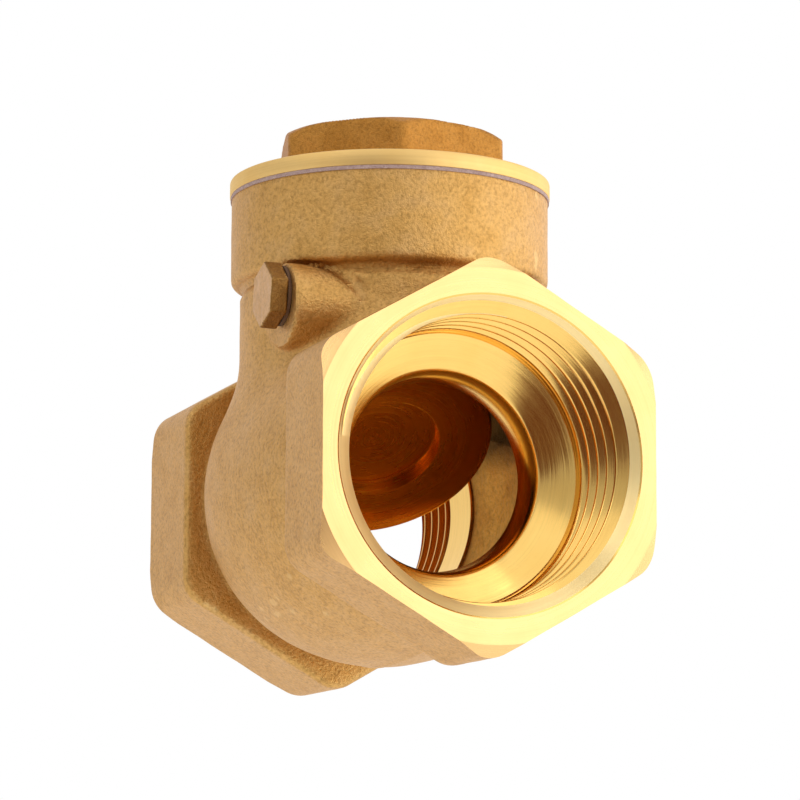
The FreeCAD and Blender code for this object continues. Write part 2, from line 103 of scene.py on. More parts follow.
CAP_TOP = 40.25
CAP_HEX_CORNER = 14.06
CAP_HEX_ROUND = 1.2
CAP_BEVEL_RADIUS = 12.5
CAP_BEVEL_DEPTH = 1.1
SPIGOT_RADIUS = 15.15
SPIGOT_BORE = 12.6
SPIGOT_BOTTOM = 26.2
CAP_HOLLOW_TOP = 33.8
OPEN_ANGLE = math.radians(51.5)
DISC_FACE = 2.55
DISC_RADIUS = 13.5
DISC_EDGE = 0.35
DISC_RIM = 3.4
DISC_BACK = 4.4
DISC_BACK_RADIUS = 6.0
RECESS_RADIUS = 7.25
RECESS_DEPTH = 1.9
STUD_RADIUS = 2.5
EYE_BORE = 2.56
STACK_GAP = 0.1
ARM_THICKNESS = 3.0
EYE_RADIUS = 6.0
HUB_RADIUS = 3.2
HUB_WIDTH = 13.0
ARM_HALF_WIDTH = 5.0
RIB_WIDTH = 8.0
STUD_END = -9.55

# ---------------------------------------------------------------------------------------------
# Sizes that only the looks have
# ---------------------------------------------------------------------------------------------
CAST_END = 33.0  # the hexagons are cast long, then cut back to length
CUT_END = 34.0  # the turning tools start beyond the casting
INLET_HEX_EDGE = 0.9
OUTLET_HEX_EDGE = 0.7
BELLY_CUT_MIDDLE = 0.85
BELLY_CUT_HALF = 18.85
NECK_STOCK_TOP = 35.0
NECK_EDGE = 0.2
COLLAR_MIDDLE = 28.9
COLLAR_HALF_HEIGHT = 5.9
COLLAR_EDGE = 0.9
BOSS_EDGE = 0.3
GROOVE_RADIUS = 0.5
CREASE_RADIUS = 0.32
FLASH_HEIGHT = 0.15
FLASH_WIDTH = 0.45
FLASH_REACH = 17.5
MOUTH_BREAK = 0.2
THREAD_ROOM = 0.25  # the bore is cut this much under the crest, and the thread tool does the rest
CAP_TURN = math.radians(45.0)
CAP_HEX_SINK = 0.6  # the cap's hexagon starts this far up in the flange
CAP_PLATE_MIDDLE = 34.55
CAP_PLATE_HALF = 0.6
CAP_CONE_SLOPE = 0.6
BODY_STEP = 0.42
CAP_STEP = 0.3
PLUG_STEP = 0.14
ARM_STEP = 0.24

# G1 pipe thread, right-handed, 55 degree flanks
PITCH = 2.309
INLET_THREAD_PHASE = 0.69
THREAD_FORM = (
    (0.0, 0.0), (0.16, 0.0), (0.25, 0.08), (0.292, 0.16), (0.58, 0.71), (0.868, 1.26),
    (0.91, 1.34), (1.0, 1.43), (1.155, 1.479), (1.309, 1.43), (1.399, 1.34), (1.441, 1.26),
    (1.729, 0.71), (2.017, 0.16), (2.059, 0.08), (2.149, 0.0),
)


# ---------------------------------------------------------------------------------------------
# Mesh helpers
# ---------------------------------------------------------------------------------------------
def to_frame(points):
    """Housing points in millimetres about the valve's centre, to metres in the frame."""
    return (np.asarray(points, float) - [HALF_LENGTH, 0.0, 0.0]) * MM


def clapper_to_frame(points):
    """Clapper points about the hinge axis with the clapper shut, to the open rest place."""
    p = np.asarray(points, float)
    c, s = math.cos(OPEN_ANGLE), math.sin(OPEN_ANGLE)
    turned = np.stack([c * p[:, 0] + s * p[:, 2], p[:, 1], c * p[:, 2] - s * p[:, 0]], axis=1)
    return (turned + [HINGE_X - HALF_LENGTH, 0.0, HINGE_Z]) * MM


def add_mesh(name, points, faces, place=to_frame, material=None):
    mesh = bpy.data.meshes.new(name)
    mesh.from_pydata(place(points).tolist(), [], [tuple(int(i) for i in f) for f in faces])
    work = bmesh.new()
    work.from_mesh(mesh)
    if work.calc_volume(signed=True) < 0:
        bmesh.ops.reverse_faces(work, faces=work.faces)
    work.to_mesh(mesh)
    work.free()
    if material is not None:
        mesh.materials.append(material)
    piece = bpy.data.objects.new(name, mesh)
    bpy.context.scene.collection.objects.link(piece)
    return piece


def net_points(sdf, low, high, step):
    """Closed quad mesh of the surface where sdf is 0: one point for each cell it crosses."""
    axes = [np.arange(a, b + step, step) for a, b in zip(low, high)]
    grid = np.meshgrid(*axes, indexing="ij")
    inside = sdf(*grid) < 0
    shape = np.array(inside.shape)
    corners = np.zeros(shape - 1, np.int8)
    for i, j, k in itertools.product(range(2), repeat=3):
        corners += inside[i:shape[0] - 1 + i, j:shape[1] - 1 + j, k:shape[2] - 1 + k]
    active = (corners > 0) & (corners < 8)
    index = np.full(active.shape, -1)
    index[active] = np.arange(active.sum())
    points = np.argwhere(active) * step + np.array(low) + step / 2
    points = settle(sdf, points, step / 2)
    faces = []
    for a in range(3):
        b, c = (a + 1) % 3, (a + 2) % 3
        first = np.take(inside, range(shape[a] - 1), axis=a)
        second = np.take(inside, range(1, shape[a]), axis=a)
        cross = np.argwhere(first != second)
        flip = second[tuple(cross.T)]
        corner_ids = []
        for db, dc in ((-1, -1), (0, -1), (0, 0), (-1, 0)):
            cell = cross.copy()
            cell[:, b] += db
            cell[:, c] += dc
            corner_ids.append(index[tuple(cell.T)])
        quad = np.stack(corner_ids, axis=1)
        quad[flip] = quad[flip][:, ::-1]
        faces.append(quad)
    return points, np.concatenate(faces)


def settle(sdf, points, reach, rounds=6):
    """Move points onto the surface along its gradient."""
    nudge = 0.02
    for _ in range(rounds):
        d = sdf(*points.T)
        slope = np.stack([
            sdf(*(points + offset).T) - sdf(*(points - offset).T)
            for offset in np.eye(3) * nudge], axis=1) / (2 * nudge)
        move = -(d / np.maximum((slope ** 2).sum(axis=1), 0.2))[:, None] * slope
        length = np.linalg.norm(move, axis=1, keepdims=True)
        points = points + move * np.minimum(1.0, reach / np.maximum(length, 1e-9))
    return points


def lathe_points(profile, axis="X", centre=(0.0, 0.0, 0.0), segments=SEGMENTS):
    """Closed turned solid: profile is (along the axis, radius) and is closed by flat ends."""
    order = {"X": (0, 1, 2), "Y": (1, 2, 0), "Z": (2, 0, 1)}[axis]
    angle = np.arange(segments) * 2 * math.pi / segments
    rings = []
    for along, radius in profile:
        ring = np.zeros((segments, 3))
        ring[:, order[0]] = along
        ring[:, order[1]] = radius * np.cos(angle)
        ring[:, order[2]] = radius * np.sin(angle)
        rings.append(ring)
    points = np.concatenate(rings)
    ends = np.zeros((2, 3))
    ends[0, order[0]] = profile[0][0]
    ends[1, order[0]] = profile[-1][0]
    points = np.concatenate([points, ends]) + np.array(centre)
    faces = []
    n = segments
    for j in range(len(profile) - 1):
        for i in range(n):
            k = (i + 1) % n
            faces.append((j * n + i, j * n + k, (j + 1) * n + k, (j + 1) * n + i))
    last = (len(profile) - 1) * n
    start, stop = len(profile) * n, len(profile) * n + 1
    for i in range(n):
        k = (i + 1) % n
        faces.append((start, k, i))
        faces.append((stop, last + i, last + k))
    return points, faces


def arc_profile(start, stop, middle, radius, arc, steps):
    """Points on a barrel's profile arc: (along, radius)."""
    along = np.linspace(start, stop, steps)
    rise = np.sqrt(arc ** 2 - (along - middle) ** 2)
    return [(x, radius - arc + r) for x, r in zip(along, rise)]


def thread_points(low, high, fade_from, fade_to, phase=0.0):
    """Closed plug whose side is an internal thread's surface, turned along the pipe axis.

    The mesh lines follow the helix, so crests and roots stay crisp.  The groove fades out
    between fade_from and fade_to."""
    count = len(THREAD_FORM)
    offsets = [a for a, _ in THREAD_FORM]
    depths = [d for _, d in THREAD_FORM]

    def depth_at(x, depth):
        t = min(max((x - fade_to) / (fade_from - fade_to), 0.0), 1.0)
        return depth * t * t * (3 - 2 * t)

    def profile_depth(place):
        return float(np.interp(place % PITCH, offsets + [PITCH], depths + [0.0]))

    points, columns = [], []
    margin = 0.03
    for i in range(SEGMENTS):
        angle = 2 * math.pi * i / SEGMENTS
        shift = phase + PITCH * i / SEGMENTS
        turn = (math.cos(angle), math.sin(angle))
        rows = []
        first = int((low - shift) / PITCH) - 2
        last = int((high - shift) / PITCH) + 2
        for k in range(first * count, (last + 1) * count):
            x = (k // count) * PITCH + offsets[k % count] + shift
            if low + margin < x < high - margin:
                rows.append((k, x, depth_at(x, depths[k % count])))
        rows.insert(0, ("low", low, depth_at(low, profile_depth(low - shift))))
        rows.append(("high", high, depth_at(high, profile_depth(high - shift))))
        column = {}
        for key, x, depth in rows:
            radius = THREAD_CREST + depth
            column[key] = len(points)
            points.append((x, radius * turn[0], radius * turn[1]))
        columns.append(column)
    wrapped = {}
    for key, value in columns[0].items():
        wrapped[key if isinstance(key, str) else key - count] = value
    columns.append(wrapped)
    faces = []
    for left, right in zip(columns[:-1], columns[1:]):
        a = sorted(k for k in left if not isinstance(k, str))
        b = sorted(k for k in right if not isinstance(k, str))
        base, top = max(a[0], b[0]), min(a[-1], b[-1])
        for k in range(base, top):
            faces.append((left[k], left[k + 1], right[k + 1], right[k]))
        faces.append(
            [left["low"]] + [left[k] for k in a if k <= base]
            + [right[k] for k in reversed(b) if k <= base] + [right["low"]])
        faces.append(
            [left[k] for k in a if k >= top] + [left["high"], right["high"]]
            + [right[k] for k in reversed(b) if k >= top])
    centre_low, centre_high = len(points), len(points) + 1
    points += [(low, 0.0, 0.0), (high, 0.0, 0.0)]
    for left, right in zip(columns[:-1], columns[1:]):
        faces.append((centre_low, left["low"], right["low"]))
        faces.append((centre_high, right["high"], left["high"]))
    return np.array(points), faces


def combine(target, tools, operation):
    """Join or cut with exact solid booleans, and keep each face's own material."""
    for tool in tools:
        step = target.modifiers.new(tool.name, "BOOLEAN")
        step.solver = "MANIFOLD"
        step.operation = operation
        step.material_mode = "TRANSFER"
        step.object = tool
    bpy.context.view_layer.update()
    shape = target.evaluated_get(bpy.context.evaluated_depsgraph_get())
    result = bpy.data.meshes.new_from_object(shape)
    target.modifiers.clear()
    target.data = result
    for tool in tools:
        bpy.data.objects.remove(tool)


def finish_shading(piece, angle=32.0):
    """Smooth shading, with a crease wherever two faces meet at more than the angle."""
    work = bmesh.new()
    work.from_mesh(piece.data)
    limit = math.radians(angle)
    for face in work.faces:
        face.smooth = True
    for edge in work.edges:
        edge.smooth = len(edge.link_faces) == 2 and edge.calc_face_angle(0.0) < limit
    work.to_mesh(piece.data)
    work.free()


# ---------------------------------------------------------------------------------------------
# Distance functions for the cast shapes
# ---------------------------------------------------------------------------------------------
def smooth_min(a, b, k):
    h = np.clip(0.5 + 0.5 * (b - a) / k, 0.0, 1.0)
    return b * (1 - h) + a * h - k * h * (1 - h)


def smooth_max(a, b, k):
    return -smooth_min(-a, -b, k)


def hexagon_distance(corner_way, flat_way, inradius, rounding):
    """Distance to a hexagon with rounded corners on the corner_way axis."""
    a, b = np.abs(corner_way), np.abs(flat_way)
    kx, ky, kz = -math.sqrt(3) / 2, 0.5, 1 / math.sqrt(3)
    small = inradius - rounding
    fold = 2 * np.minimum(kx * a + ky * b, 0.0)
    a = a - fold * kx
    b = b - fold * ky
    a = a - np.clip(a, -kz * small, kz * small)
    b = b - small
    return np.hypot(a, b) * np.sign(b) - rounding


def slab(across, along, edge):
    """Prism from a 2D distance and a distance along its axis, with rounded edges."""
    p, q = across + edge, along + edge
    outside = np.hypot(np.maximum(p, 0), np.maximum(q, 0))
    return outside + np.minimum(np.maximum(p, q), 0) - edge


def waves(x, y, z, size, seed):
    """Soft, repeatable unevenness between -1 and 1."""
    rng = np.random.default_rng(seed)
    total = np.zeros_like(x)
    for _ in range(6):
        way = rng.normal(size=3)
        way = way / np.linalg.norm(way) * 2 * math.pi / (size * rng.uniform(0.7, 1.5))
        total = total + np.sin(x * way[0] + y * way[1] + z * way[2] + rng.uniform(0, 6.3))
    return total / 6


def end_hexagon(outward, y, z, back, edge):
    """A port's hexagon, where outward is the distance from the valve's centre towards its end."""
    across = hexagon_distance(z, y, ACROSS_FLATS / 2, HEX_CORNER_ROUND)
    return slab(across, np.abs(outward - (back + CAST_END) / 2) - (CAST_END - back) / 2, edge)


def casting(x, y, z):
    """The body before it is machined."""
    inlet = end_hexagon(x, y, z, INLET_HEX_BACK, INLET_HEX_EDGE)
    outlet = end_hexagon(-x, y, z, OUTLET_HEX_BACK, OUTLET_HEX_EDGE)
    round_x = np.hypot(y, z)
    belly_out = np.hypot(x - BELLY_MIDDLE, round_x - (BELLY_RADIUS - BELLY_OUTLET_ARC))
    belly_in = np.hypot(x - BELLY_MIDDLE, round_x - (BELLY_RADIUS - BELLY_INLET_ARC))
    belly = np.where(x < BELLY_MIDDLE, belly_out - BELLY_OUTLET_ARC, belly_in - BELLY_INLET_ARC)
    belly = np.maximum(belly, np.abs(x - BELLY_CUT_MIDDLE) - BELLY_CUT_HALF)
    round_z = np.hypot(x, y)
    neck = slab(round_z - NECK_RADIUS, np.abs(z - NECK_STOCK_TOP / 2) - NECK_STOCK_TOP / 2,
                NECK_EDGE)
    collar = slab(round_z - COLLAR_RADIUS, np.abs(z - COLLAR_MIDDLE) - COLLAR_HALF_HEIGHT,
                  COLLAR_EDGE)
    stem = smooth_min(neck, collar, 0.7)
    boss = slab(np.hypot(x - HINGE_X, z - BOSS_Z) - BOSS_RADIUS,
                np.where(y < 0, -y - BOSS_FACE, y - BLIND_BOSS_FACE), BOSS_EDGE)
    shape = smooth_min(belly, stem, 2.2)
    # a soft groove under the collar, and a crease round the top of each boss
    under_collar = np.hypot(round_z - NECK_RADIUS - 0.12, z - COLLAR_TAPER_LOW + 0.1)
    shape = smooth_max(shape, GROOVE_RADIUS - under_collar, 0.35)
    high = np.clip((z - BOSS_Z) / 2.0, 0.0, 1.0)
    crease = CREASE_RADIUS * high - np.hypot(boss - 0.05, stem - 0.05)
    shape = smooth_min(shape, boss, 1.3 - 0.9 * high)
    shape = np.where(high > 0, smooth_max(shape, crease, 0.2), shape)
    # the flash line that the two halves of the mould leave
    flash = (FLASH_HEIGHT * np.exp(-(y / FLASH_WIDTH) ** 2)
             * np.clip((FLASH_REACH - np.abs(x)) / 2.0, 0.0, 1.0))
    shape = smooth_min(shape - np.where(z > 8.0, flash * 1.4, flash), inlet, 0.8)
    shape = smooth_min(shape, outlet, 0.9)
    uneven = 0.035 * (waves(x, y, z, 9.0, 3) + 0.7 * waves(x, y, z, 3.5, 8) - 1.7)
    return shape - uneven


# ---------------------------------------------------------------------------------------------
# Materials
# ---------------------------------------------------------------------------------------------
class Nodes:
    """Shorthand for building a node material."""

    def __init__(self, name):
        self.material = bpy.data.materials.new(name)
        self.material.use_nodes = True
        self.tree = self.material.node_tree
        self.shader = self.tree.nodes["Principled BSDF"]

    def add(self, kind, **settings):
        node = self.tree.nodes.new(kind)
        for key, value in settings.items():
            setattr(node, key, value)
        return node

    def link(self, source, target):
        self.tree.links.new(source, target)

    def value(self, socket, item):
        if isinstance(item, bpy.types.NodeSocket):
            self.link(item, socket)
        else:
            socket.default_value = item

    def math(self, operation, first, second=0.0, third=0.0):
        node = self.add("ShaderNodeMath", operation=operation)
        for socket, item in zip(node.inputs, (first, second, third)):
            self.value(socket, item)
        return node.outputs[0]

    def noise(self, vector, scale, detail=3.0, roughness=0.55, distortion=0.0):
        node = self.add("ShaderNodeTexNoise")
        self.link(vector, node.inputs["Vector"])
        node.inputs["Scale"].default_value = scale
        node.inputs["Detail"].default_value = detail
        node.inputs["Roughness"].default_value = roughness
        node.inputs["Distortion"].default_value = distortion
        return node.outputs["Fac"]

    def ramp(self, factor, stops):
        node = self.add("ShaderNodeValToRGB")
        self.link(factor, node.inputs["Fac"])
        elements = node.color_ramp.elements
        while len(elements) < len(stops):
            elements.new(0.5)
        for element, (place, colour) in zip(elements, stops):
            element.position = place
            element.color = (*colour, 1.0)
        return node.outputs["Color"]

    def mix(self, factor, first, second, blend="MIX"):
        node = self.add("ShaderNodeMix", data_type="RGBA", blend_type=blend)
        self.value(node.inputs["Factor"], factor)
        for socket, item in ((node.inputs[6], first), (node.inputs[7], second)):
            self.value(socket, (*item, 1.0) if isinstance(item, tuple) else item)
        return node.outputs[2]

    def span(self, factor, low, high, out_low, out_high):
        node = self.add("ShaderNodeMapRange")
        self.link(factor, node.inputs["Value"])
        for name, item in (("From Min", low), ("From Max", high), ("To Min", out_low),
                           ("To Max", out_high)):
            node.inputs[name].default_value = item
        return node.outputs["Result"]

    def bump(self, height, distance, strength=1.0, under=None):
        node = self.add("ShaderNodeBump")
        self.link(height, node.inputs["Height"])
        node.inputs["Distance"].default_value = distance
        node.inputs["Strength"].default_value = strength
        if under is not None:
            self.link(under, node.inputs["Normal"])
        return node.outputs["Normal"]

    def place(self, centre=(0.0, 0.0, 0.0), turn=(0.0, 0.0, 0.0), then=(0.0, 0.0, 0.0)):
        """Object coordinates in millimetres, about a centre, turned and then shifted."""
        coords = self.add("ShaderNodeTexCoord")
        shift = self.add("ShaderNodeMapping", vector_type="POINT")
        shift.inputs["Location"].default_value = [-c for c in centre]
        shift.inputs["Scale"].default_value = (1000.0, 1000.0, 1000.0)
        self.link(coords.outputs["Object"], shift.inputs["Vector"])
        rotate = self.add("ShaderNodeMapping", vector_type="POINT")
        rotate.inputs["Rotation"].default_value = turn
        rotate.inputs["Location"].default_value = then
        self.link(shift.outputs["Vector"], rotate.inputs["Vector"])
        return rotate.outputs["Vector"]


def metal(nodes, tint=(1.0, 1.0, 1.0)):
    nodes.shader.inputs["Metallic"].default_value = 1.0
    nodes.shader.inputs["Specular Tint"].default_value = (*tint, 1.0)


def cast_material(name, dark, light, mauve, rough=(0.4, 0.58), grain=1.0, amount=1.0,
                  shaded_above=None, wear=0.4):
    """Sand-cast and blasted brass: fine sparkling grain, soft stains, brighter worn edges, and
    painted shade: crevices and hollows darkened to brown.  Given a height, it is painted dark
    above it, as painted shade, and its reflections are tinted orange, as painted reflection."""
    n = Nodes(name)
    # the inside one's reflections are tinted orange: painted inter-reflection
    metal(n, (1.0, 0.94, 0.97) if shaded_above is None else (1.0, 0.78, 0.58))
    p = n.place((-HALF_LENGTH, 0.0, 0.0))
    broad = n.noise(p, 0.06, 2.0, 0.5)
    patches = n.noise(p, 0.3, 4.0, 0.62)
    sand = n.noise(p, 2.4 * grain, 3.0, 0.65)
    fine = n.noise(p, 6.5 * grain, 2.0, 0.6)
    base = n.ramp(patches, [(0.3, dark), (0.52, light), (0.75, mauve)])
    base = n.mix(n.span(broad, 0.35, 0.7, 0.0, 0.4), base, mauve)
    speck = n.ramp(sand, [(0.28, (0.62, 0.6, 0.57)), (0.5, (1.0, 1.0, 1.0)),
                          (0.72, (1.2, 1.19, 1.15))])
    base = n.mix(min(0.75 * amount, 1.0), base, speck, "MULTIPLY")
    pointed = n.add("ShaderNodeNewGeometry").outputs["Pointiness"]
    worn = n.span(pointed, 0.54, 0.64, 0.0, wear)
    base = n.mix(worn, base, (0.86, 0.6, 0.26))
    # painted shade: hollow places (low pointiness) are darkened to deep brown
    hollow = n.span(pointed, 0.42, 0.49, 0.5, 0.0)
    base = n.mix(hollow, base, (0.3, 0.15, 0.045))
    # painted shade: places close to other surfaces (ambient occlusion) are darkened to brown
    crevice_shade = n.add("ShaderNodeAmbientOcclusion", samples=6)
    crevice_shade.inputs["Distance"].default_value = 0.006
    base = n.mix(n.span(crevice_shade.outputs["AO"], 0.2, 0.68, 0.52, 0.0), base, (0.42, 0.18, 0.03))
    # painted shade: above the given height the inner wall is painted nearly black
    if shaded_above is not None:
        parts = n.add("ShaderNodeSeparateXYZ")
        n.link(p, parts.inputs["Vector"])
        height = n.math("ADD", parts.outputs["Z"], n.math("MULTIPLY", patches, 3.0))
        stain = n.span(height, shaded_above, shaded_above + 3.0, 0.0, 0.88)
        base = n.mix(stain, base, (0.06, 0.025, 0.008))
    n.link(base, n.shader.inputs["Base Color"])
    n.link(n.span(fine, 0.25, 0.75, *rough), n.shader.inputs["Roughness"])
    low = n.bump(patches, 0.0001, 0.3)
    mid = n.bump(sand, 0.00013 * amount, 0.85, low)
    n.link(n.bump(fine, 0.00006 * amount, 0.9, mid), n.shader.inputs["Normal"])
    return n.material


def turned_material(name, colour, deep, axis="X", centre=(-HALF_LENGTH, 0.0, 0.0),
                    turn=(0.0, 0.0, 0.0), then=(0.0, 0.0, 0.0), rough=(0.14, 0.22), marks=0.4):
    """Machined brass: tool marks run round the axis, with faint stains."""
    n = Nodes(name)
    metal(n, (1.0, 0.93, 0.8))
    p = n.place(centre, turn, then)
    parts = n.add("ShaderNodeSeparateXYZ")
    n.link(p, parts.inputs["Vector"])
    names = {"X": ("X", "Y", "Z"), "Y": ("Y", "Z", "X"), "Z": ("Z", "X", "Y")}[axis]
    along = parts.outputs[names[0]]
    side, up = parts.outputs[names[1]], parts.outputs[names[2]]
    radius = n.math("SQRT", n.math("ADD", n.math("MULTIPLY", side, side),
                                   n.math("MULTIPLY", up, up)))
    angle = n.math("ARCTAN2", up, side)
    ring = n.add("ShaderNodeCombineXYZ")
    n.link(along, ring.inputs["X"])
    n.link(radius, ring.inputs["Y"])
    n.link(n.math("MULTIPLY", n.math("COSINE", angle), 0.25), ring.inputs["Z"])
    fine = n.noise(ring.outputs["Vector"], 5.0, 2.0, 0.6)
    coarse = n.noise(ring.outputs["Vector"], 1.3, 2.0, 0.5)
    stain = n.noise(p, 0.22, 4.0, 0.6)
    base = n.mix(n.span(stain, 0.35, 0.75, 0.0, 0.6), colour, deep)
    base = n.mix(0.25, base, n.ramp(fine, [(0.3, (0.8, 0.78, 0.74)), (0.6, (1.05, 1.05, 1.05))]),
                 "MULTIPLY")
    n.link(base, n.shader.inputs["Base Color"])
    n.link(n.span(n.math("ADD", n.math("MULTIPLY", coarse, 0.6), n.math("MULTIPLY", stain, 0.4)),
                  0.35, 0.65, *rough), n.shader.inputs["Roughness"])
    soft = n.bump(coarse, 0.00006 * marks, 0.5)
    n.link(n.bump(fine, 0.00002 * marks, 0.7, soft), n.shader.inputs["Normal"])
    return n.material


def fibre_material(name, dark, middle, light):
    """Pressed fibre sheet: matt, with short fibres."""
    n = Nodes(name)
    p = n.place((-HALF_LENGTH, 0.0, 0.0))
    fibres = n.noise(p, 3.0, 4.0, 0.7, 1.2)
    spots = n.noise(p, 0.6, 3.0, 0.6)
    base = n.ramp(fibres, [(0.3, dark), (0.6, middle), (0.8, light)])
    base = n.mix(n.span(spots, 0.4, 0.7, 0.0, 0.4), base, dark)
    n.link(base, n.shader.inputs["Base Color"])
    n.link(n.span(fibres, 0.3, 0.7, 0.65, 0.9), n.shader.inputs["Roughness"])
    n.link(n.bump(fibres, 0.00008, 0.8), n.shader.inputs["Normal"])
    return n.material


CAST = cast_material("brass_cast", (0.56, 0.31, 0.085), (0.63, 0.365, 0.115), (0.62, 0.375, 0.145))
# the chamber's inner wall: painted dark above 5 mm as painted shade, with orange-tinted
# reflections as painted reflection
CAST_INSIDE_SHADED = cast_material("brass_cast_inside_painted_shade", (0.56, 0.27, 0.05), (0.7, 0.38, 0.08),
                            (0.62, 0.35, 0.09), (0.35, 0.55), 0.8, 1.0, shaded_above=5.0)
# the plug head's sides: a much darker copy of the cast brass, as painted shade
PLUG_SIDE_SHADE = cast_material("brass_plug_side_painted_shade", (0.2, 0.09, 0.02), (0.32, 0.16, 0.04),
                          (0.28, 0.15, 0.05), (0.4, 0.55), 1.3)
PLUG_FACE = cast_material("brass_plug_face", (0.58, 0.34, 0.13), (0.64, 0.39, 0.17),
                          (0.66, 0.43, 0.24), (0.4, 0.55), 1.0, 0.6)
CAST_CAP = cast_material("brass_cast_cap", (0.4, 0.175, 0.03), (0.49, 0.235, 0.05),
                         (0.54, 0.24, 0.05), (0.42, 0.58), 1.2, wear=0.12)
TURNED = turned_material("brass_turned", (0.94, 0.61, 0.18), (0.91, 0.55, 0.14))
# a darker copy of the turned brass for the outlet's thread deep in the bore: painted shade
TURNED_OUTLET_SHADE = turned_material("brass_turned_outlet_painted_shade", (0.68, 0.36, 0.09), (0.6, 0.29, 0.065))
TURNED_FACE = turned_material("brass_turned_face", (0.96, 0.6, 0.25), (0.94, 0.57, 0.22),
                              rough=(0.24, 0.34))
# a paler copy of the turned brass for the mouths' chamfers: rougher, and painted paler as painted
# highlight
TURNED_MOUTH_LIT = turned_material("brass_turned_mouth_painted_light", (0.98, 0.76, 0.36), (0.97, 0.72, 0.32),
                               rough=(0.36, 0.46))
TURNED_CAP = turned_material("brass_turned_cap", (0.84, 0.57, 0.22), (0.8, 0.52, 0.175), "Z",
                             rough=(0.46, 0.56))
HINGE_PLACE = (HINGE_X - HALF_LENGTH, 0.0, HINGE_Z)
DISC_AXIS_PLACE = dict(axis="X", centre=HINGE_PLACE, turn=(0.0, -OPEN_ANGLE, 0.0),
                       then=(0.0, 0.0, HINGE_Z))
# a redder copy of the turned brass for the disc: the chamber's red inter-reflection painted into
# its colour
TURNED_DISC_REFLECTION = turned_material("brass_turned_disc_painted_reflection", (0.99, 0.46, 0.06), (0.97, 0.37, 0.04),
                              rough=(0.2, 0.34), marks=1.2, **DISC_AXIS_PLACE)
CAST_CLAPPER = cast_material("brass_cast_clapper", (0.52, 0.29, 0.08), (0.62, 0.37, 0.12),
                             (0.56, 0.34, 0.13), (0.4, 0.58), 1.1)
NUT = turned_material("brass_nut", (0.88, 0.6, 0.23), (0.78, 0.48, 0.15), rough=(0.2, 0.32),
                      **DISC_AXIS_PLACE)
STEEL = turned_material("pin_steel_ground", (0.62, 0.61, 0.6), (0.5, 0.49, 0.48), "Y",
                        HINGE_PLACE, rough=(0.25, 0.38))
GASKET = fibre_material("gasket_fibre", (0.3, 0.18, 0.16), (0.5, 0.36, 0.32), (0.7, 0.56, 0.5))
# the fibre washer under the plug head, coloured as dark as the shadow there: partly its own dark
# fibre, partly painted shade
WASHER_SHADE = fibre_material("washer_fibre_painted_shade", (0.09, 0.04, 0.018), (0.14, 0.07, 0.03),
                        (0.2, 0.11, 0.05))
# a darker copy of the turned brass for the neck's bore, inside under the cap: painted shade
TURNED_NECK_SHADE = turned_material("brass_turned_neck_painted_shade", (0.46, 0.27, 0.08), (0.36, 0.19, 0.05), "Z",
                              rough=(0.36, 0.5))


